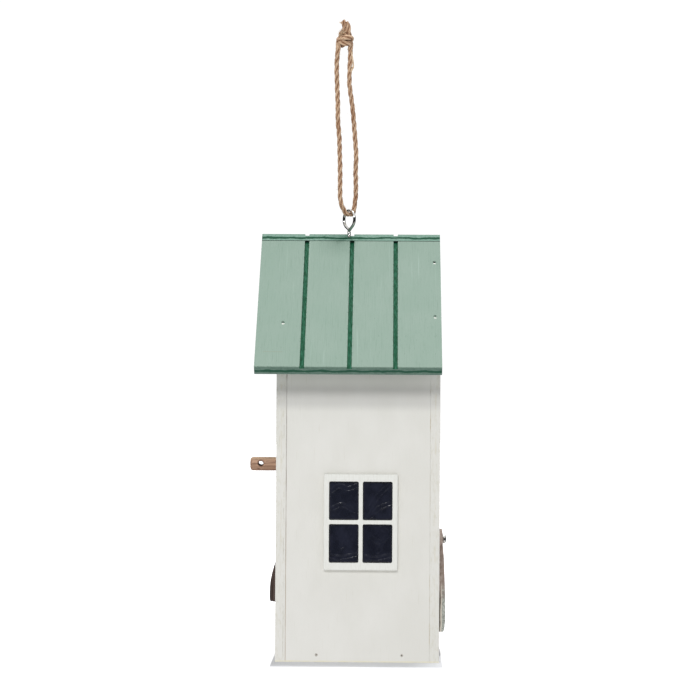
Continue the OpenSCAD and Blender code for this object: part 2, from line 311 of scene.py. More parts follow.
def roof_paint(side):
    """Green stain on a grooved panel. side is 1 for the right-hand slope and -1 for the left."""
    s = Shader("roof_paint_right" if side > 0 else "roof_paint_left", Specular_IOR_Level=0.3)
    down = s.along((side * SLANT, 0, -SLANT), -SLANT * RIDGE_Z)
    y = s.along(Y)
    out = s.along((side * SLANT, 0, SLANT), SLANT * RIDGE_Z)
    depth = s.minus(0.0, out)
    local = s.triple(down, y, out)
    gap = off_groove(s, y)
    cloud = s.noise((35, 45, 35), local, detail=3)
    grain = s.noise((55, 1300, 400), local, detail=4, rough=0.6)
    colour = stained_face(s, local, down, gap, cloud, grain)

    ply_edge = s.ramp(depth, 0.3 * MM, 0.7 * MM)
    core, edge_green = stained_edge(s, local, down, depth)
    colour = s.mix(ply_edge, colour, edge_green)
    groove = s.times(s.ramp(depth, 0.2 * MM, 0.5 * MM),
                     s.ramp(gap, GROOVE_W / 2, GROOVE_W / 2 + 0.3 * MM, 1.0, 0.0),
                     s.ramp(depth, GROOVE_DEPTH, GROOVE_DEPTH + 0.2 * MM, 1.0, 0.0))
    fuzz = s.noise((260, 1200, 600), local, detail=4, rough=0.6)
    green = s.mix(s.ramp(fuzz, 0.38, 0.68), srgb(8, 70, 44), srgb(44, 106, 80))
    colour = s.mix(groove, colour, green)
    # Painted shade: the panel's underside near the ridge, seen at the groove ends under the lap,
    # is coloured near black.
    lap_painted_shade = s.times(s.ramp(depth, ROOF_PLY - 0.5 * MM, ROOF_PLY - 0.2 * MM),
                        s.ramp(down, 11 * MM, 14 * MM, 1.0, 0.0))
    colour = s.mix(lap_painted_shade, colour, srgb(22, 46, 36))
    scratch = s.times(s.near(down, SLOPE_LEN - 13 * MM, 0.1 * MM, 0.25 * MM),
                      s.near(y, ROOF_FRONT + 11 * MM, 5 * MM, 2 * MM))
    colour = s.mix(s.times(scratch, 0.4), colour, srgb(120, 118, 96))
    in_house = s.times(s.ramp(s.far(s.along(X)), HALF_W - PLY - 1 * MM, HALF_W - PLY, 1.0, 0.0),
                       s.ramp(s.far(y), GABLE_IN - 0.2 * MM, GABLE_IN, 1.0, 0.0),
                       s.ramp(depth, ROOF_PLY - 0.3 * MM, ROOF_PLY - 0.1 * MM),
                       s.ramp(down, 12 * MM, 13 * MM))
    s.colour(s.mix(in_house, colour, raw_ply(s, depth)))

    s.roughness(s.ramp(cloud, 0.3, 0.7, 0.48, 0.53))
    dull = s.math("MAXIMUM", groove, s.times(ply_edge, core))
    s.feed(s.bsdf.inputs["Specular IOR Level"], s.minus(0.3, s.times(dull, 0.24)))
    s.bump(grain, 0.10 * MM)
    s.bump(s.times(ply_edge, s.noise((500, 900, 2500), local, detail=3)), 0.25 * MM)
    return s.material


def off_groove(s, y):
    """How far a point is from the middle of the nearest groove."""
    gaps = [s.far(s.minus(y, groove)) for groove in GROOVES_Y]
    nearest = gaps[0]
    for gap in gaps[1:]:
        nearest = s.math("MINIMUM", nearest, gap)
    return nearest


def stained_face(s, local, down, gap, cloud, grain):
    """The stain's colour on the sloping face, streaked down it and darker by the grooves."""
    streak = s.noise((14, 420, 100), local, detail=2)
    colour = s.mix(s.ramp(cloud, 0.3, 0.7), srgb(117, 141, 127), srgb(121, 145, 131))
    colour = s.shade(s.ramp(grain, 0.5, 0.75, 0.0, 0.8), colour, srgb(228, 236, 232))
    colour = s.mix(s.ramp(streak, 0.62, 0.78, 0.0, 0.3), colour, srgb(158, 182, 169))
    dash = s.noise((260, 1500, 100), local, detail=2)
    low = s.ramp(down, 0.06, SLOPE_LEN, 0.25, 1.0)
    colour = s.shade(s.times(s.ramp(dash, 0.66, 0.74), low), colour, srgb(196, 214, 206))
    colour = s.shade(s.ramp(down, 0.0, 0.05, 0.9, 0.0), colour, srgb(244, 248, 246))
    rim = s.times(s.near(gap, GROOVE_W / 2 + 0.1 * MM, 0.1 * MM, 0.7 * MM),
                  s.ramp(s.noise((500, 900, 300), local, detail=3, rough=0.7), 0.5, 0.66))
    return s.mix(s.times(rim, 0.75), colour, srgb(60, 100, 80))


def stained_edge(s, local, down, depth):
    """The panel's edges: where the dark middle ply is, and the colour with that ply in it."""
    wave = s.ramp(s.noise((200, 110, 200), detail=4, rough=0.6), 0.2, 0.8, -0.7 * MM, 0.7 * MM)
    core = s.near(s.math("ADD", depth, wave), ROOF_PLY * 0.56, 0.7 * MM, 0.4 * MM)
    speckle = s.ramp(s.noise((900, 500, 900), local, detail=3, rough=0.65), 0.3, 0.7)
    ridge = s.ramp(down, 1 * MM, 3 * MM, 1.0, 0.0)
    # Painted shade: the eave's end faces down and is given a darker green than the ridge's end.
    eave_edge_shaded = s.mix(speckle, srgb(88, 116, 104), srgb(106, 134, 121))
    at_ridge = s.mix(speckle, srgb(92, 130, 114), srgb(114, 150, 134))
    dark = s.mix(ridge, srgb(46, 88, 70), srgb(30, 76, 56))
    return core, s.mix(core, s.mix(ridge, eave_edge_shaded, at_ridge), dark)


def frame_paint():
    """White paint on the window's flat bars, thinner on their edges."""
    s = Shader("frame_paint", Roughness=0.45, Specular_IOR_Level=0.3)
    grain = s.noise((300, 1200, 200), detail=3)
    out = s.far(s.along(X))
    colour = s.mix(s.ramp(grain, 0.35, 0.75), srgb(238, 239, 234), srgb(232, 232, 226))
    thin = s.times(s.ramp(out, HALF_W + 0.3 * MM, HALF_W + 2.4 * MM, 1.0, 0.0),
                   s.ramp(s.noise((500, 500, 500), detail=3), 0.4, 0.62))
    colour = s.mix(s.times(thin, 0.5), colour, srgb(216, 206, 182))
    s.colour(colour)
    s.bump(grain, 0.05 * MM)
    s.bump(s.noise((700, 700, 700), detail=2), 0.05 * MM)
    return s.material


def pane_paint():
    """Thick glossy navy-black paint."""
    s = Shader("pane_paint", Roughness=0.2, Specular_IOR_Level=0.5, Coat_Weight=0.25,
               Coat_Roughness=0.12)
    cloud = s.noise((160, 160, 160), detail=3)
    s.colour(s.mix(s.ramp(cloud, 0.3, 0.7), srgb(26, 29, 42), srgb(36, 39, 54)))
    s.bump(s.noise((1500, 400, 1500), detail=3), 0.02 * MM)
    return s.material


def turned_wood(name, dark, pale, across, along_axis):
    """Stained wood with its grain along one axis."""
    s = Shader(name, Specular_IOR_Level=0.25)
    scale = [across] * 3
    scale[along_axis] = across * 0.05
    grain = s.noise(scale, detail=5, rough=0.62, warp=0.6)
    pore = s.noise([value * 2.2 for value in scale], detail=2)
    colour = s.mix(s.ramp(grain, 0.32, 0.7), dark, pale)
    colour = s.shade(s.ramp(pore, 0.6, 0.72), colour, srgb(178, 166, 160))
    s.roughness(s.ramp(grain, 0.3, 0.7, 0.62, 0.48))
    s.bump(grain, 0.12 * MM)
    s.bump(s.ramp(pore, 0.55, 0.75), -0.08 * MM)
    return s, colour


def perch_wood():
    s, colour = turned_wood("perch_wood", srgb(122, 88, 70), srgb(206, 168, 142), 620, 1)
    low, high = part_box("perch")
    knot = s.ramp(s.noise((420, 420, 520), detail=2), 0.62, 0.72)
    colour = s.mix(s.times(knot, 0.7), colour, srgb(96, 60, 52))
    # Painted shade: the bore of the hole and a ring round its mouth are darkened.
    across, up = s.along(Y, PERCH_HOLE_Y), s.along(Z, PERCH_HOLE_Z)
    ring = s.math("SQRT", s.sum(s.times(across, across), s.times(up, up)))
    colour = s.shade(s.ramp(ring, 1.7 * MM, 2.6 * MM, 1.0, 0.0), colour, srgb(168, 146, 138))
    # Painted light and shade: the top of the dowel is paler and its underside darker, as light
    # from above falls.
    top = s.ramp(s.along(Z), high.z - 2.6 * MM, high.z - 0.6 * MM)
    colour = s.mix(s.times(top, 0.6), colour, srgb(214, 184, 152))
    under = s.ramp(s.along(Z), low.z, low.z + 2.5 * MM, 1.0, 0.0)
    colour = s.shade(s.times(under, 0.5), colour, srgb(206, 184, 176))
    s.colour(colour)
    return s.material


def ornament_wood():
    s, colour = turned_wood("ornament_wood", srgb(52, 40, 37), srgb(98, 82, 76), 520, 2)
    s.colour(colour)
    return s.material


def cover_wood():
    """Worn brown wood, with a cream layer and a weathered grey face low on its edge."""
    s = Shader("cover_wood", Roughness=0.62, Specular_IOR_Level=0.22)
    y = s.along(Y, HALF_D)
    z = s.along(Z)
    grain = s.noise((700, 260, 45), detail=5, rough=0.62, warp=0.5)
    brown = s.mix(s.ramp(grain, 0.3, 0.7), srgb(134, 118, 108), srgb(184, 168, 158))
    band = s.noise((300, 900, 120), detail=2)
    brown = s.mix(s.ramp(band, 0.58, 0.7, 0.0, 0.6), brown, srgb(184, 164, 158))
    hatch = s.noise((900, 600, 260), detail=4, rough=0.7, warp=1.2)
    grey = s.mix(s.ramp(hatch, 0.35, 0.65), srgb(138, 142, 134), srgb(224, 228, 220))
    worn = s.ramp(s.math("ADD", z, s.ramp(s.noise((260, 260, 260), detail=3), 0, 1,
                                          -8 * MM, 8 * MM)), 34 * MM, 46 * MM, 1.0, 0.0)
    cream = s.mix(s.noise((900, 900, 200)), srgb(238, 230, 216), srgb(248, 242, 230))
    wave = s.ramp(s.noise((150, 150, 150)), 0.2, 0.8, -0.25 * MM, 0.25 * MM)
    layer = s.math("ADD", y, wave)
    # Painted shade: the band of the edge nearest the back panel is dark brown, for the shade in
    # the gap behind the cover.
    colour = s.mix(s.ramp(layer, 1.6 * MM, 1.8 * MM), srgb(96, 84, 72), cream)
    colour = s.mix(s.ramp(layer, 2.5 * MM, 2.8 * MM), colour, grey)
    s.colour(s.mix(worn, brown, colour))
    s.bump(grain, 0.16 * MM)
    s.bump(hatch, 0.12 * MM)
    return s.material


# Metal

def bright_steel():
    s = Shader("bright_steel", Metallic=1.0)
    patina = s.noise((900, 900, 900), detail=3)
    s.colour(s.mix(s.ramp(patina, 0.45, 0.75), srgb(226, 226, 224), srgb(196, 188, 168)))
    s.roughness(s.ramp(patina, 0.3, 0.7, 0.12, 0.24))
    s.bump(s.noise((2500, 2500, 2500), detail=2), 0.01 * MM)
    return s.material


# Steel with rust, coloured near black as painted shade, so each roof brad reads as a dark hole.
def brad_steel():
    s = Shader("brad_steel", Metallic=0.3)
    rust = s.noise((2200, 2200, 2200), detail=3)
    s.colour(s.mix(s.ramp(rust, 0.4, 0.65), srgb(26, 26, 26), srgb(58, 50, 42)))
    s.roughness(s.ramp(rust, 0.3, 0.7, 0.4, 0.7))
    s.bump(rust, 0.04 * MM)
    return s.material


def dull_paint():
    """The paint that fills the dimple over a brad in the walls, gone a little grey."""
    s = Shader("dull_paint", Roughness=0.6, Specular_IOR_Level=0.2)
    tone = s.noise((1800, 1800, 1800), detail=2)
    s.colour(s.mix(s.ramp(tone, 0.3, 0.7), srgb(186, 178, 166), srgb(220, 217, 210)))
    s.bump(tone, 0.04 * MM)
    return s.material


def jute():
    """Twisted fibres. The strand attribute is a point's place in its own straightened yarn."""
    s = Shader("jute", "strand", Roughness=0.85, Specular_IOR_Level=0.15,
               Sheen_Weight=0.25, Sheen_Roughness=0.5)
    fibre = s.noise((3600, 3600, 260), detail=3, rough=0.6)
    patch = s.noise((120, 120, 90), detail=3)
    colour = s.mix(s.ramp(fibre, 0.3, 0.7), srgb(150, 112, 82), srgb(238, 208, 176))
    colour = s.shade(s.ramp(patch, 0.46, 0.68, 0.0, 0.8), colour, srgb(206, 182, 166))
    # Painted shade: the yarn is darkened where it lies deep between the plies.
    deep = s.node("ShaderNodeAttribute", attribute_name="crease").outputs["Fac"]
    colour = s.shade(deep, colour, srgb(168, 128, 104))
    s.colour(colour)
    s.bump(fibre, 0.2 * MM)
    return s.material


def fibre_straw():
    """Loose fibres, paler than the yarn."""
    s = Shader("fibre_straw", Roughness=0.7, Specular_IOR_Level=0.2)
    tone = s.noise((400, 400, 400), detail=2)
    s.colour(s.mix(s.ramp(tone, 0.35, 0.65), srgb(186, 152, 118), srgb(232, 212, 184)))
    s.bump(s.noise((3000, 3000, 3000)), 0.02 * MM)
    return s.material


# Mesh building

class Builder:
    """Collects points and faces. Yarn also has each point's place in its own straightened ply,
    and how deep it lies between the plies."""

    def __init__(self):
        self.points, self.faces, self.strand, self.crease = [], [], [], []

    def loop(self, points, strand=None):
        """Adds a ring of points and returns their numbers."""
        first = len(self.points)
        self.points.extend(points)
        self.strand.extend(strand or [Vector()] * len(points))
        return list(range(first, len(self.points)))

    def bridge(self, one, two):
        count = len(one)
        for i in range(count):
            j = (i + 1) % count
            self.faces.append((one[i], one[j], two[j], two[i]))

    def loft(self, loops, closed=False):
        for one, two in zip(loops, loops[1:]):
            self.bridge(one, two)
        if closed:
            self.bridge(loops[-1], loops[0])
        else:
            self.faces.append(tuple(reversed(loops[0])))
            self.faces.append(tuple(loops[-1]))

    def grid(self, rows):
        """Adds a sheet of faces over rows of point numbers."""
        for one, two in zip(rows, rows[1:]):
            for i in range(len(one) - 1):
                self.faces.append((one[i], one[i + 1], two[i + 1], two[i]))

    def build(self, name, material, body="house"):
        """Makes the closed piece, which rides on a body of the frame."""
        mesh = bpy.data.meshes.new(name)
        mesh.from_pydata(self.points, [], self.faces)
        if any(place.length for place in self.strand):
            made = mesh.attributes.new("strand", "FLOAT_VECTOR", "POINT")
            made.data.foreach_set("vector", [c for place in self.strand for c in place])
        if self.crease:
            mesh.attributes.new("crease", "FLOAT", "POINT").data.foreach_set("value", self.crease)
        mesh.materials.append(material)
        mesh.polygons.foreach_set("use_smooth", [True] * len(mesh.polygons))
        mesh.validate()
        piece = bpy.data.objects.new(name, mesh)
        bpy.context.scene.collection.objects.link(piece)
        outward(piece)
        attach(piece, body)
        return piece


def outward(piece):
    """Turns every face of a closed mesh outward."""
    import bmesh
    mesh = bmesh.new()
    mesh.from_mesh(piece.data)
    bmesh.ops.recalc_face_normals(mesh, faces=mesh.faces)
    mesh.to_mesh(piece.data)
    mesh.free()


def cut(piece, cutter):
    """Takes the cutter's shape out of a piece."""
    modifier = piece.modifiers.new("cut", "BOOLEAN")
    modifier.object = cutter
    modifier.solver = "EXACT"
    evaluated = piece.evaluated_get(bpy.context.evaluated_depsgraph_get())
    mesh = bpy.data.meshes.new_from_object(evaluated)
    piece.modifiers.clear()
    piece.data = mesh
    bpy.data.objects.remove(cutter)


def rod(start, end, radius):
    """A plain round cutter from one point to another."""
    axis = (end - start).normalized()
    u = axis.orthogonal().normalized()
    w = axis.cross(u)
    b = Builder()
    loops = [b.loop([at + radius * (math.cos(a) * u + math.sin(a) * w)
                     for a in turn(32)]) for at in (start, end)]
    b.loft(loops)
    mesh = bpy.data.meshes.new("cutter")
    mesh.from_pydata(b.points, [], b.faces)
    cutter = bpy.data.objects.new("cutter", mesh)
    bpy.context.scene.collection.objects.link(cutter)
    outward(cutter)
    return cutter


def turn(count):
    """Evenly spaced angles round a circle."""
    return [2 * math.pi * i / count for i in range(count)]


def smooth_step(low, high, value):
    share = min(max((value - low) / (high - low), 0), 1)
    return share * share * (3 - 2 * share)


def soften(node, width):
    """Rounds the edges of a frame node."""
    weld = NODES[node].modifiers.new("weld", "WELD")
    weld.merge_threshold = 0.01 * MM
    bevel = NODES[node].modifiers.new("bevel", "BEVEL")
    bevel.width = width
    bevel.segments = 3
    bevel.limit_method = "ANGLE"
    bevel.angle_limit = math.radians(35)
    normals = NODES[node].modifiers.new("normals", "WEIGHTED_NORMAL")
    normals.weight = 100


def paint(node, material):
    NODES[node].data.materials.clear()
    NODES[node].data.materials.append(material)


# Paths

def smooth_path(points, step, closed=False):
    """Points a step apart on a curve that passes through all of the given points."""
    count = len(points)
    dense = []
    spans = count if closed else count - 1
    for i in range(spans):
        if closed:
            a, b, c, d = (points[(i + k) % count] for k in (-1, 0, 1, 2))
        else:
            a, b = points[max(i - 1, 0)], points[i]
            c, d = points[i + 1], points[min(i + 2, count - 1)]
        for k in range(24):
            t = k / 24
            dense.append(0.5 * (2 * b + (c - a) * t + (2 * a - 5 * b + 4 * c - d) * t ** 2
                                + (3 * b - a - 3 * c + d) * t ** 3))
    dense.append(points[0] if closed else points[-1])
    length = sum((q - p).length for p, q in zip(dense, dense[1:]))
    steps = max(2, round(length / step))
    out, walked, target = [dense[0]], 0.0, length / steps
    for p, q in zip(dense, dense[1:]):
        span = (q - p).length
        while walked + span >= target * len(out) and len(out) < steps:
            out.append(p.lerp(q, (target * len(out) - walked) / span))
        walked += span
    if not closed:
        out.append(dense[-1])
    return out, length


def heading(path, i, closed):
    """The step across point i of a path, from the point before it to the point after."""
    before = path[i - 1] if closed or i else path[0]
    after = path[(i + 1) % len(path)] if closed or i < len(path) - 1 else path[-1]
    return (after - before).normalized(), after


def frames(path, closed=False):
    """A (forward, side, up) set of directions at each point, without sudden turns."""
    out, side = [], None
    for i in range(len(path)):
        forward, _ = heading(path, i, closed)
        if closed:
            side = forward.cross(X).normalized()
        elif side is None:
            side = forward.orthogonal().normalized()
        else:
            side = (side - forward * side.dot(forward)).normalized()
        out.append((forward, side, forward.cross(side)))
    return out


def tube(b, path, radius, sides):
    """A round tube along a path. radius is a number or a function of the share of its length."""
    loops, walked = [], 0.0
    for i, (at, (_, side, up)) in enumerate(zip(path, frames(path))):
        if i:
            walked += (at - path[i - 1]).length
        r = radius(i / (len(path) - 1)) if callable(radius) else radius
        ring = [(r * math.cos(a), r * math.sin(a)) for a in turn(sides)]
        loops.append(b.loop([at + u * side + v * up for u, v in ring],
                            [Vector((u, v, walked)) for u, v in ring]))
    b.loft(loops)


# Rope

ROPE_D = 3 * MM
ROPE_LAY = 17 * MM
PLIES = 3
KNOT_AT = Vector((2, -10.6, 392)) * MM
ROPE_ROUTE = [
    (1.1, -7.3, 280), (2, -8.5, 280.2), (3, -9.9, 281.2), (3.8, -11, 283.2),
    (4.6, -12.2, 286), (5, -13, 289.3), (5.2, -13.2, 294), (5, -13.2, 302), (5, -13.3, 310),
    (4.5, -13.6, 320), (4, -14, 330), (3.5, -14.9, 340), (3.5, -15, 350), (3, -15.4, 360),
    (3, -15.8, 370), (3.2, -15.8, 378), (3.8, -15.2, 385), (4.2, -14.8, 390.5),
    (3.4, -13.2, 394.2), (2, -10.8, 395.6), (0.6, -8.4, 394.2), (-0.2, -7, 390.5),
    (0.2, -7.2, 385), (1, -7.4, 378), (1.3, -7.7, 370), (1.5, -7.6, 363), (1, -6.6, 356),
    (0.5, -5.4, 347), (0, -4.5, 337), (-0.5, -3.8, 328), (-0.5, -3.1, 318), (-1, -3.4, 308),
    (-1.2, -3.2, 298), (-1.5, -3.3, 292), (-1.7, -3.8, 287.6), (-1.5, -4.2, 284.2),
    (-0.8, -4.8, 281.6), (0.2, -6.1, 280.2)]
# The strands of the knot, from its middle. The first two come up from the two sides of the
# loop, go round each other and end in tails. The third fills the middle.
KNOT_STRANDS = [
    [(1.5, -4.3, -6), (2.2, -4.4, -3), (3.2, -3.6, -0.6), (4.0, -0.6, 0.8), (3.4, 2.6, 1.4),
     (0.8, 4.1, 1.2), (-2.2, 2.8, -0.6), (-3.2, -0.4, -1.2), (-2.2, -2.8, 0.6), (-0.4, -2.2, 3.2),
     (0.4, -0.8, 5.6), (0.8, -0.4, 8.4), (1.0, -0.6, 10.6), (0.9, -1.6, 12.2)],
    [(-1.4, 3.3, -6), (-0.4, 3.2, -3.4), (1.8, 2.6, -2.6), (3.6, 0.2, -2.4), (2.8, -3.0, -1.4),
     (-0.2, -4.2, 0.4), (-3.0, -2.4, 2.2), (-3.2, 1.0, 2.6), (-1.0, 2.4, 3.0), (1.2, 2.2, 4.6),
     (1.2, 1.9, 7.6), (1.0, 1.6, 9.8), (1.2, 0.6, 11.4)],
    [(0.2, -2.6, -3.4), (-0.6, -1.2, -2.6), (-0.6, 0.6, -1.4), (0, 1.0, 0.6), (0.2, 0.2, 2.4),
     (0, -0.6, 4.0)]]
KNOT_D = 3.3 * MM
# A loose bundle of fibres on the back strand, below the knot
LOOSE_BUNDLE = [(1.6, -6.4, 384.5), (2.2, -5.8, 380.5), (2.6, -5.3, 377.5), (2.8, -5.2, 375.3),
                (2.8, -6, 373.5), (2.6, -7, 371.5)]


def twisted(b, path, length, diameter, closed=False):
    """Lays a rope of twisted plies along a path."""
    turns = max(1, round(length / ROPE_LAY)) if closed else length / ROPE_LAY
    offset, ply_r = diameter * 0.25, diameter * 0.275
    directions = frames(path, closed)
    count = len(path)
    for ply in range(PLIES):
        line = []
        for i, (at, (_, side, up)) in enumerate(zip(path, directions)):
            a = 2 * math.pi * (turns * i / count + ply / PLIES)
            swell = 1 + 0.10 * noise.noise(at * 260 + Vector((ply * 9, 0, 0)))
            line.append(at + offset * swell * (math.cos(a) * side + math.sin(a) * up))
        loops, walked = [], ply * 0.5
        for i, at in enumerate(line):
            forward, after = heading(line, i, closed)
            side = directions[i][1]
            side = (side - forward * side.dot(forward)).normalized()
            up = forward.cross(side)
            twist = -2 * math.pi * walked / (ROPE_LAY * 0.62)
            ring, own = [], []
            for a in turn(14):
                ridge = 1 + 0.05 * math.cos(7 * a)
                ridge += 0.10 * noise.noise(Vector((math.cos(a), math.sin(a), walked * 420)) * 1.3)
                u, v = math.cos(a + twist) * ridge * ply_r, math.sin(a + twist) * ridge * ply_r
                ring.append(at + u * side + v * up)
                own.append(Vector((math.cos(a) * ply_r, math.sin(a) * ply_r, walked)))
                out = (ring[-1] - path[i]).length / (offset + ply_r)
                b.crease.append(1 - smooth_step(0.62, 0.94, out))
            loops.append(b.loop(ring, own))
            walked += (after - at).length
        b.loft(loops, closed)


def loose_fibre(b, rng, start, lean, length, radius):
    """One thin hair that leaves the rope and bends as it goes."""
    at, way, line = start.copy(), lean.normalized(), [start.copy()]
    for _ in range(6):
        bend = Vector((rng.uniform(-1, 1), rng.uniform(-1, 1), rng.uniform(-1, 1)))
        way = (way + bend * 0.38).normalized()
        at = at + way * length / 6
        line.append(at.copy())
    tube(b, line, lambda share: radius * (1 - 0.75 * share), 4)


def rope():
    """The loop, its overhand knot and the loose fibres, as three pieces of one cord."""
    yarn = jute()
    path, length = smooth_path([Vector(p) * MM for p in ROPE_ROUTE], 0.6 * MM, closed=True)
    b = Builder()
    twisted(b, path, length, ROPE_D, closed=True)
    loop = b.build("jute_rope", yarn)
    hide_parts("rope_loop")

    b = Builder()
    ends = []
    for strand in KNOT_STRANDS:
        line, span = smooth_path([KNOT_AT + Vector(p) * MM for p in strand], 0.5 * MM)
        twisted(b, line, span, KNOT_D)
        ends.append(line[-1])
    knot = b.build("jute_knot", yarn)
    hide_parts("rope_knot")

    rng = random.Random(7)
    b = Builder()
    stray_hairs(b, rng, path)
    frayed_ends(b, rng, ends)
    knot_tuft(b, rng)
    loose_bundle(b, rng)
    fibres = b.build("jute_fibres", fibre_straw())


def stray_hairs(b, rng, path):
    """Hairs that stand off the rope all along it."""
    for _ in range(230):
        i = rng.randrange(len(path))
        forward = (path[(i + 1) % len(path)] - path[i]).normalized()
        aside = Vector((rng.gauss(0, 1), rng.gauss(0, 1), rng.gauss(0, 1)))
        aside = (aside - forward * aside.dot(forward)).normalized()
        start = path[i] + aside * ROPE_D * 0.42
        lean = aside * rng.uniform(0.25, 1) + forward * rng.choice((-1, 1))
        loose_fibre(b, rng, start, lean, rng.uniform(1.5, 4.5) * MM,
                    rng.uniform(0.04, 0.08) * MM)


def frayed_ends(b, rng, ends):
    """A brush of fibres at the end of each strand of the knot."""
    for end in ends:
        for _ in range(60):
            spread = Vector((rng.gauss(0, 0.55), rng.gauss(0, 0.55), 0))
            start = end + spread * MM - Z * 1.5 * MM
            loose_fibre(b, rng, start, Z + spread * 0.9, rng.uniform(1.2, 2.1) * MM,
                        rng.uniform(0.07, 0.14) * MM)


def knot_tuft(b, rng):
    """A pale tuft on the front of the knot."""
    tuft = KNOT_AT + Vector((2.2, -3.4, 3.2)) * MM
    for _ in range(70):
        lean = Vector((rng.uniform(-0.3, 0.2), rng.uniform(0.1, 0.7), 1))
        start = tuft + Vector((rng.uniform(-1, 1), rng.uniform(-0.9, 1.1),
                               rng.uniform(-1.5, 1))) * MM
        loose_fibre(b, rng, start, lean, rng.uniform(3, 5.5) * MM, 0.1 * MM)


def loose_bundle(b, rng):
    """Fibres that bow out of the back strand."""
    bundle, _ = smooth_path([Vector(p) * MM for p in LOOSE_BUNDLE], 0.5 * MM)
    for _ in range(14):
        shift = Vector((rng.uniform(-0.3, 0.3), rng.uniform(-0.3, 0.3), rng.uniform(-1, 1))) * MM
        tube(b, [p + shift for p in bundle], 0.16 * MM, 5)


# Window panes

def pane_strokes():
    """Brush strokes on the four panes, each a bent line in shares of the pane's width and
    height, with the pane's column and row first."""
    return [
        (1, 1, [(0.08, 0.08), (0.35, 0.42), (0.62, 0.70), (0.95, 0.93)]),
        (1, 1, [(0.30, 0.10), (0.55, 0.30), (0.90, 0.42)]),
        (0, 1, [(0.10, 0.75), (0.35, 0.88), (0.62, 0.80), (0.92, 0.88)]),
        (0, 1, [(0.15, 0.30), (0.45, 0.38), (0.85, 0.22)]),
        (0, 0, [(0.12, 0.90), (0.30, 0.55), (0.42, 0.40), (0.62, 0.62), (0.78, 0.92)]),
        (0, 0, [(0.05, 0.16), (0.40, 0.12), (0.92, 0.20)]),
        (1, 0, [(0.30, 0.92), (0.18, 0.72), (0.42, 0.58), (0.70, 0.48), (0.52, 0.28)]),
        (1, 0, [(0.62, 0.90), (0.86, 0.74), (0.74, 0.58)]),
        (1, 0, [(0.06, 0.14), (0.45, 0.10), (0.92, 0.18)])]


def stroke_height(y, z, lines):
    """Height of the paint at a place: bristle marks, raised at both edges of each stroke."""
    height = 0.0
    for line in lines:
        nearest = min(segment_gap(y, z, a, b) for a, b in zip(line, line[1:]))
        half = 1.25 * MM
        ridge = math.exp(-((nearest - half) / (0.38 * MM)) ** 2)
        floor = 0.45 * math.exp(-(nearest / half) ** 2) * math.cos(nearest / (0.16 * MM))
        height = max(height, ridge) + 0.3 * floor
    return height


def segment_gap(y, z, a, b):
    dy, dz = b[0] - a[0], b[1] - a[1]
    along = ((y - a[0]) * dy + (z - a[1]) * dz) / (dy * dy + dz * dz)
    along = min(max(along, 0), 1)
    return math.hypot(y - a[0] - along * dy, z - a[1] - along * dz)


def window_panes(node, side, material):
    """Four pads of thick paint that fill the openings of one window."""
    low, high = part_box(node)
    wide = (high.y - low.y - MUNTIN) / 2
    tall = (high.z - low.z - MUNTIN) / 2
    thick = high.x - low.x
    b = Builder()
    across, up = 56, 72
    for column in (0, 1):
        for row in (0, 1):
            y0 = low.y + column * (wide + MUNTIN)
            z0 = low.z + row * (tall + MUNTIN)
            lines = []
            for c, r, line in pane_strokes():
                if (c, r) == (column, row):
                    lines.append(smooth_line([(y0 + p * wide, z0 + q * tall) for p, q in line]))
            rows = []
            for j in range(up + 1):
                ring = []
                for i in range(across + 1):
                    y, z = y0 + wide * i / across, z0 + tall * j / up
                    edge = min(y - y0, y0 + wide - y, z - z0, z0 + tall - z)
                    fall = smooth_step(0, 0.7 * MM, edge)
                    h = 0.14 * MM * stroke_height(y, z, lines)
                    h += 0.10 * MM * noise.noise(Vector((y, z, side)) * 330)
                    h += 0.03 * MM * noise.noise(Vector((y * 500, z * 2300, side)))
                    x = HALF_W + thick * (0.35 + 0.5 * fall) + h * fall
                    ring.append(Vector((side * x, y, z)))
                rows.append(b.loop(ring))
            b.grid(rows)
            border = rows[0] + [r[-1] for r in rows[1:]] + rows[-1][-2::-1]
            border += [r[0] for r in rows[-2:0:-1]]
            back = b.loop([Vector((side * HALF_W, b.points[i].y, b.points[i].z)) for i in border])
            b.bridge(border, back)
            b.faces.append(tuple(back))
    piece = b.build("painted_" + node, material)
    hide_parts(node)


def smooth_line(points):
    flat = [Vector((y, z, 0)) for y, z in points]
    path, _ = smooth_path(flat, 1.2 * MM)
    return [(p.x, p.y) for p in path]


# Clean-out cover

def cover_loop(low_r, top_r, low_z, top_z):
    """Points round a small circle over a large one, joined by straight sides."""
    lean = math.asin((low_r - top_r) / (top_z - low_z))
    left, right = math.pi - lean, 2 * math.pi + lean
    out = []
    for z, r, start, end, steps in ((low_z, low_r, left, right, 56),
                                    (top_z, top_r, lean, left, 28)):
        for i in range(steps + 1):
            a = start + (end - start) * i / steps
            out.append((r * math.cos(a), z + r * math.sin(a)))
        z1, r1, a1 = (top_z, top_r, lean) if z == low_z else (low_z, low_r, left)
        (x0, z0), x1, z1 = out[-1], r1 * math.cos(a1), z1 + r1 * math.sin(a1)
        for k in range(1, 16):
            out.append((x0 + (x1 - x0) * k / 16, z0 + (z1 - z0) * k / 16))
    return out


def cover_depth(z):
    """How far the cover's outer face stands off the back panel, by height."""
    rises = [(13, 3.9), (15.6, 4.5), (22.4, 4.85), (30, 4.85), (39.7, 4.6), (49.3, 4.35),
             (59.6, 4), (66, 3.6), (69, 3.2), (76, 3.2), (79, 2.8)]
    height = min(max(z / MM, rises[0][0]), rises[-1][0])
    for (z0, y0), (z1, y1) in zip(rises, rises[1:]):
        if height <= z1:
            return (y0 + (y1 - y0) * (height - z0) / (z1 - z0)) * MM
    return rises[-1][1] * MM


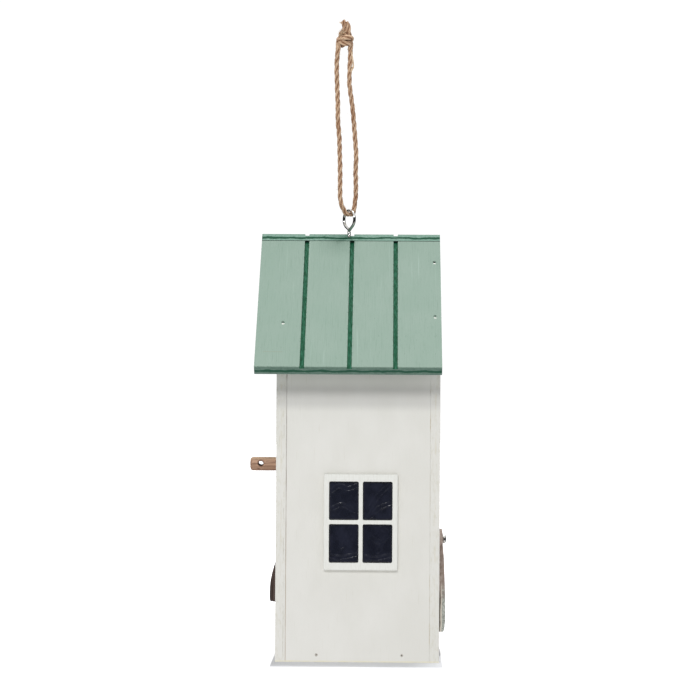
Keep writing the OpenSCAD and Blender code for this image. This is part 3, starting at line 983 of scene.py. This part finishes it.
def cleanout_cover():
    """A worn wooden wedge, coloured in three bands at its edge, the one next to the back panel
    dark as painted shade.
    """
    low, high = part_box("cleanout_cover")
    low_r, top_r = high.x, 9 * MM
    low_z, top_z = low.z + low_r, high.z - top_r
    gap = low.y - HALF_D
    b = Builder()
    loops = []

    def add(inset, share, wobble=0.0):
        ring = []
        for x, z in cover_loop(low_r * (1 - inset), top_r * (1 - inset), low_z, top_z):
            out = gap + (cover_depth(z) - gap) * share
            push = 1 + wobble * noise.noise(Vector((x, share * 0.004, z)) * 500)
            grain = 0.05 * MM * noise.noise(Vector((x * 700, 0, z * 60))) * share
            ring.append(Vector((x * push, HALF_D + out + grain, low_z + (z - low_z) * push)))
        loops.append(b.loop(ring))

    for inset in (0.97, 0.8, 0.6, 0.4, 0.2, 0.08, 0.03):
        add(inset, 0.0)
    for share, inset in ((0.03, 0.012), (0.1, 0.004), (0.24, 0.0), (0.30, 0.008), (0.36, 0.001),
                         (0.52, 0.0), (0.57, 0.009), (0.62, 0.001), (0.8, 0.001),
                         (0.92, 0.008), (0.98, 0.018)):
        add(inset, share, 0.006)
    for inset in (0.04, 0.08, 0.15, 0.25, 0.4, 0.55, 0.7, 0.85, 0.97):
        add(inset, 1.0)
    b.loft(loops)
    piece = b.build("worn_cover", cover_wood(), body="cover")
    pivot = Vector((0, HALF_D, PIVOT_Z))
    cut(piece, rod(pivot - Y * 2 * MM, pivot + Y * 8 * MM, 1.6 * MM))
    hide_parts("cleanout_cover")


# Perch and ornament

def perch():
    """A hand-cut dowel with a soft end and a hole across it."""
    low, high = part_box("perch")
    radius = (high.x - low.x) / 2
    middle_z = (low.z + high.z) / 2
    length = high.y - low.y
    round_off = 2 * MM
    b = Builder()
    loops = []
    stations = [0, 0.004, 0.012, 0.025, 0.045, 0.07] + [0.07 + 0.93 * i / 44 for i in range(1, 45)]
    for share in stations:
        from_end = share * length
        shrink = 0.0
        if from_end < round_off:
            shrink = round_off - math.sqrt(max(round_off ** 2 - (round_off - from_end) ** 2, 0))
        ring = []
        for a in turn(56):
            at = Vector((math.cos(a) * 9, math.sin(a) * 9, from_end * 60))
            fibre = 0.05 * MM * noise.noise(at)
            r = radius - 0.05 * MM - shrink + fibre
            ring.append(Vector((r * math.cos(a), low.y + from_end, middle_z + r * math.sin(a))))
        loops.append(b.loop(ring))
    b.loft(loops)
    piece = b.build("perch_dowel", perch_wood())
    hole = Vector((0, PERCH_HOLE_Y, PERCH_HOLE_Z))
    slope = Vector((math.cos(PERCH_HOLE_TILT), 0, -math.sin(PERCH_HOLE_TILT)))
    cut(piece, rod(hole - slope * radius * 1.3, hole + slope * radius * 1.3, PERCH_HOLE_R))
    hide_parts("perch")


def ornament():
    """Half of a dark turned barrel, split along its length, with chisel marks down it."""
    low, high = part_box("front_ornament")
    out, axis = high.y - low.y, 5.6 * MM
    middle_z = low.z + 5.1 * MM
    half_h = high.z - middle_z
    ball = (half_h ** 2 + out ** 2) / (2 * out)
    b = Builder()
    loops = []
    for i in range(61):
        z = low.z + (high.z - low.z - 0.02 * MM) * math.sin(math.pi / 2 * i / 60)
        reach = math.sqrt(ball ** 2 - (z - middle_z) ** 2) - ball + out + axis
        widest = math.acos(min(axis / reach, 1))
        ring = []
        for k in range(41):
            a = widest * (k / 20 - 1)
            fade = min(1, 3 * (1 - abs(k / 20 - 1)), (high.z - z) / (3 * MM))
            mark = 0.14 * MM * noise.noise(Vector((a * 9, 3, z * 110))) * fade
            ring.append(Vector(((reach + mark) * math.sin(a),
                                high.y + axis - (reach + mark) * math.cos(a), z)))
        ring += [ring[-1].lerp(ring[0], k / 6) for k in range(1, 6)]
        loops.append(b.loop(ring))
    b.loft(loops)
    piece = b.build("carved_ornament", ornament_wood())
    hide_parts("front_ornament")


# Metal pieces

def threaded(b, base, axis, side, radius, length, pitch):
    """A threaded shank along an axis, from its point."""
    up = axis.cross(side)
    loops = []
    count = round(length / (pitch / 6))
    for i in range(count + 1):
        along = length * i / count
        taper = smooth_step(0, 0.12, i / count) * 0.85 + 0.15
        ring = []
        for a in turn(24):
            phase = (along / pitch - a / (2 * math.pi)) % 1
            r = radius * taper * (0.80 + 0.2 * (1 - abs(2 * phase - 1)))
            ring.append(base + axis * along + r * (math.cos(a) * side + math.sin(a) * up))
        loops.append(b.loop(ring))
    b.loft(loops)


def pivot_screw(steel):
    """A pan-head screw."""
    low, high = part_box("pivot_screw")
    head_r = (high.x - low.x) / 2
    seat = high.y - 2 * MM
    b = Builder()
    point = Vector((0, low.y, PIVOT_Z))
    threaded(b, point, Y, X, 1.5 * MM, seat - low.y + 0.4 * MM, 1.1 * MM)
    profile = [(0.02 * MM, 0), (head_r * 0.96, 0), (head_r, 0.15 * MM)]
    for i in range(9):
        a = math.pi / 2 * i / 8
        profile.append((head_r * (0.52 + 0.48 * math.cos(a)),
                        0.5 * MM + (high.y - seat - 0.5 * MM) * math.sin(a)))
    profile.append((0.02 * MM, high.y - seat))
    loops = [b.loop([Vector((r * math.cos(a), seat + out, PIVOT_Z + r * math.sin(a)))
                     for a in turn(48)]) for r, out in profile]
    b.loft(loops)
    piece = b.build("steel_pivot_screw", steel)
    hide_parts("pivot_screw")


def screw_eye(steel):
    """Bent wire: a ring, a neck and a threaded shank."""
    low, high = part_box("screw_eye")
    wire = 0.9 * MM
    ring_r = 5.8 * MM
    middle = Vector(((low.x + high.x) / 2, (low.y + high.y) / 2, high.z - ring_r - wire))
    turned = math.radians(36)
    side = Vector((math.cos(turned), math.sin(turned), 0))
    neck = math.radians(40)
    foot = Vector((middle.x, middle.y, middle.z - ring_r / math.cos(neck)))
    line = [foot - Z * 3 * MM, foot - Z * 1.2 * MM, foot + Z * 0.2 * MM]
    for i in range(49):
        a = -math.pi / 2 + neck + (2 * math.pi - 2 * neck) * i / 48
        r = ring_r * (1 - 0.012 * math.sin(a * 2))
        line.append(middle + r * (math.cos(a) * side + math.sin(a) * Z))
    line.append(foot + Z * 1.3 * MM - side * 0.75 * MM)
    line.append(foot + Z * 0.55 * MM - side * 0.3 * MM)
    path, _ = smooth_path(line, 0.22 * MM)
    b = Builder()
    tube(b, path, lambda share: wire * (1.12 - 0.12 * smooth_step(0.0, 0.12, share)), 22)
    shank = foot.z - 0.6 * MM - low.z
    threaded(b, Vector((middle.x, middle.y, low.z)), Z, X, 1.2 * MM, shank, 1.2 * MM)
    piece = b.build("steel_screw_eye", steel)
    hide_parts("screw_eye")


def islands(node):
    """The middle and the points of each separate solid in a node."""
    mesh = NODES[node].data
    group = list(range(len(mesh.vertices)))

    def root(i):
        while group[i] != i:
            group[i] = group[group[i]]
            i = group[i]
        return i

    seen = {}
    for v in mesh.vertices:
        key = tuple(round(c / (0.002 * MM)) for c in v.co)
        group[root(v.index)] = root(seen.setdefault(key, v.index))
    for edge in mesh.edges:
        group[root(edge.vertices[0])] = root(edge.vertices[1])
    solids = {}
    for v in mesh.vertices:
        solids.setdefault(root(v.index), []).append(v.co)
    out = []
    for points in solids.values():
        low = Vector([min(p[k] for p in points) for k in range(3)])
        high = Vector([max(p[k] for p in points) for k in range(3)])
        out.append(((low + high) / 2, points))
    return sorted(out, key=lambda solid: tuple(solid[0]))


def roof_spots():
    """Where each roof brad's head is, with the directions out of the roof and down it."""
    spots = []
    for middle, points in islands("roof_brads"):
        aside = math.copysign(SLANT, middle.x)
        normal, down = Vector((aside, 0, SLANT)), Vector((aside, 0, -SLANT))
        top = max(p.dot(normal) for p in points)
        spots.append((middle + normal * (top - middle.dot(normal)), normal, down))
    return spots


def paint_rims(spots, material):
    """A raised rim of paint round each roof brad."""
    b = Builder()
    for at, normal, down in spots:
        across = normal.cross(down)
        loops = []
        for lift, r in ((-0.25, 1.3), (0.02, 1.25), (0.09, 1.1), (0.07, 0.95), (-0.1, 0.86),
                        (-0.25, 0.8)):
            ring = []
            for a in turn(20):
                wobble = 1 + 0.12 * noise.noise(at * 900 + Vector((math.cos(a), math.sin(a), 0)))
                ring.append(at + normal * lift * MM
                            + r * MM * wobble * (math.cos(a) * across + math.sin(a) * down))
            loops.append(b.loop(ring))
        b.loft(loops, closed=True)
    b.build("roof_brads_rims", material)


def filler_chips(spots, material):
    """Small pale chips where the paint broke away below each roof brad."""
    b = Builder()
    for at, normal, down in spots:
        across = normal.cross(down)
        centre = at + down * 1.5 * MM
        rim, top = [], []
        for a in turn(14):
            r = (0.75 + 0.3 * noise.noise(at * 500 + Vector((math.cos(a), math.sin(a), 1)))) * MM
            spot = centre + r * (1.25 * math.cos(a) * across + 0.75 * math.sin(a) * down)
            rim.append(spot - normal * 0.15 * MM)
            top.append(centre.lerp(spot, 0.8) + normal * 0.07 * MM)
        b.loft([b.loop(rim), b.loop(top)])
    b.build("roof_chips", material)


def dimple_fills(node, axis, face, material):
    """The paint over each brad in a wall. axis is the one that the brads point along, and
    face is how far the wall's face is from the middle of the house."""
    b = Builder()
    for at, _ in islands(node):
        normal = Vector()
        normal[axis] = math.copysign(1, at[axis])
        at[axis] = normal[axis] * face
        across = Z.cross(normal)
        loops = []
        for lift, r in ((-0.3, 1.05), (0.03, 1.0), (0.05, 0.8), (-0.02, 0.3)):
            loops.append(b.loop([at + normal * lift * MM + r * MM
                                 * (math.cos(a) * across + 0.8 * math.sin(a) * Z)
                                 for a in turn(16)]))
        b.loft(loops)
    b.build(node + "_fills", material)


def chip_white():
    s = Shader("chip_white", Roughness=0.8, Specular_IOR_Level=0.2)
    tone = s.noise((1500, 1500, 1500), detail=2)
    s.colour(s.mix(s.ramp(tone, 0.3, 0.7), srgb(226, 228, 220), srgb(244, 244, 238)))
    s.bump(tone, 0.05 * MM)
    return s.material


def fasteners(roof):
    """The brads: bare steel ones in the roof, and ones painted over in the walls."""
    steel, dull = brad_steel(), dull_paint()
    paint("roof_brads", steel)
    for node, axis, face in (("front_brads", 1, HALF_D), ("back_brads", 1, HALF_D),
                             ("floor_brads", 0, HALF_W)):
        paint(node, steel)
        dimple_fills(node, axis, face, dull)
    spots = roof_spots()
    filler_chips(spots, chip_white())
    paint_rims(spots, roof)


# House

def house():
    wall, trim = wall_paint(), frame_paint()
    roof_right, roof_left = roof_paint(1), roof_paint(-1)
    for node in ("front_panel", "back_panel", "left_wall", "right_wall", "floor_panel"):
        paint(node, wall)
        soften(node, 0.22 * MM)
    for roof, node in ((roof_right, "roof_panel_right"), (roof_left, "roof_panel_left")):
        paint(node, roof)
        soften(node, 0.3 * MM)
    for node in ("window_frame_left", "window_frame_right"):
        paint(node, trim)
        soften(node, 0.9 * MM)
    pane = pane_paint()
    window_panes("window_panes_right", 1, pane)
    window_panes("window_panes_left", -1, pane)
    fasteners(roof_right)


# Studio

OVERHEAD = 0.6        # the sun's strength, as a share of what turns a white floor white
ROOM_LOW, ROOM_HIGH = 0.88, 0.47   # the room's brightness below and above the horizon
BACKDROP = 1.05
# What shiny things see, from straight down to straight up: (share of the way, brightness)
BANDS = ((0.22, 0.6), (0.33, 0.02), (0.66, 0.015), (0.77, 0.6), (0.86, 1.0))


def add_light(name, kind, energy):
    data = bpy.data.lights.new(name, kind)
    data.energy = energy
    light = bpy.data.objects.new(name, data)
    bpy.context.scene.collection.objects.link(light)
    return light


def lights():
    """A soft key from the camera's side, and a soft light overhead."""
    aim = Vector((0, 0, 0.14))
    lift, swing = math.radians(29), math.radians(-8)
    away = Vector((math.cos(lift) * math.cos(swing), math.cos(lift) * math.sin(swing),
                   math.sin(lift)))
    key = add_light("key", "AREA", 16.9)
    key.data.shape = "DISK"
    key.data.size = 0.54
    key.location = aim + 2.2 * away
    key.rotation_euler = (aim - key.location).to_track_quat("-Z", "Y").to_euler()
    overhead = add_light("overhead", "SUN", OVERHEAD * math.pi)
    overhead.data.angle = math.radians(9)
    overhead.rotation_euler = (math.radians(-2), 0, 0)


def room():
    """A white backdrop in a soft room. What shines sees a darker room with bright panels."""
    world = bpy.data.worlds.new("studio")
    world.use_nodes = True
    bpy.context.scene.world = world
    world.node_tree.nodes.clear()
    w = Nodes(world.node_tree)
    white = (1, 1, 1, 1)

    def background(strength, colour=white):
        made = w.node("ShaderNodeBackground", {"Strength": strength, "Color": colour})
        return made.outputs[0]

    def choose(flag, no, yes):
        return w.node("ShaderNodeMixShader", {0: flag, 1: no, 2: yes}).outputs[0]

    direction = w.node("ShaderNodeTexCoord").outputs["Generated"]
    height = w.node("ShaderNodeSeparateXYZ", {0: direction}).outputs["Z"]
    bands = w.node("ShaderNodeValToRGB", {"Fac": w.times(w.sum(height, 1.0), 0.5)})
    first, last = bands.color_ramp.elements
    first.position, first.color = 0.0, (0.9, 0.9, 0.9, 1)
    last.position, last.color = 1.0, white
    for position, value in BANDS:
        bands.color_ramp.elements.new(position).color = (value, value, value, 1)

    soft = background(w.ramp(height, -0.25, 0.25, ROOM_LOW, ROOM_HIGH))
    rays = w.node("ShaderNodeLightPath")
    seen = choose(rays.outputs["Is Glossy Ray"], soft, background(1.0, bands.outputs["Color"]))
    seen = choose(rays.outputs["Is Camera Ray"], seen, background(BACKDROP))
    w.node("ShaderNodeOutputWorld", {"Surface": seen})
    bpy.context.scene.view_settings.view_transform = "Standard"


def stage_floor():
    """A plain pale floor that shines white, except close round the base, where it is dull and
    shows the shadow."""
    mesh = bpy.data.meshes.new("floor")
    reach = 6.0
    mesh.from_pydata([(-reach, -reach, 0), (reach, -reach, 0), (reach, reach, 0),
                      (-reach, reach, 0)], [], [(0, 1, 2, 3)])
    s = Shader("floor_pale", Roughness=0.9, Specular_IOR_Level=0.0,
               Emission_Color=(1, 1, 1, 1))
    beside = s.minus(s.far(s.along(X)), HALF_W)
    before = s.minus(s.far(s.along(Y)), HALF_D)
    away = s.math("MAXIMUM", beside, s.times(before, 14))
    s.feed(s.bsdf.inputs["Emission Strength"], s.ramp(away, 20 * MM, 42 * MM, 0.04, 1.0))
    s.colour(s.mix(s.noise((3, 3, 3)), srgb(214, 215, 218), srgb(218, 219, 222)))
    mesh.materials.append(s.material)
    floor = bpy.data.objects.new("studio_floor", mesh)
    floor.visible_diffuse = False
    floor.visible_glossy = False
    bpy.context.scene.collection.objects.link(floor)


add_camera()
rope()
house()
perch()
ornament()
cleanout_cover()
steel = bright_steel()
pivot_screw(steel)
screw_eye(steel)
lights()
room()
stage_floor()
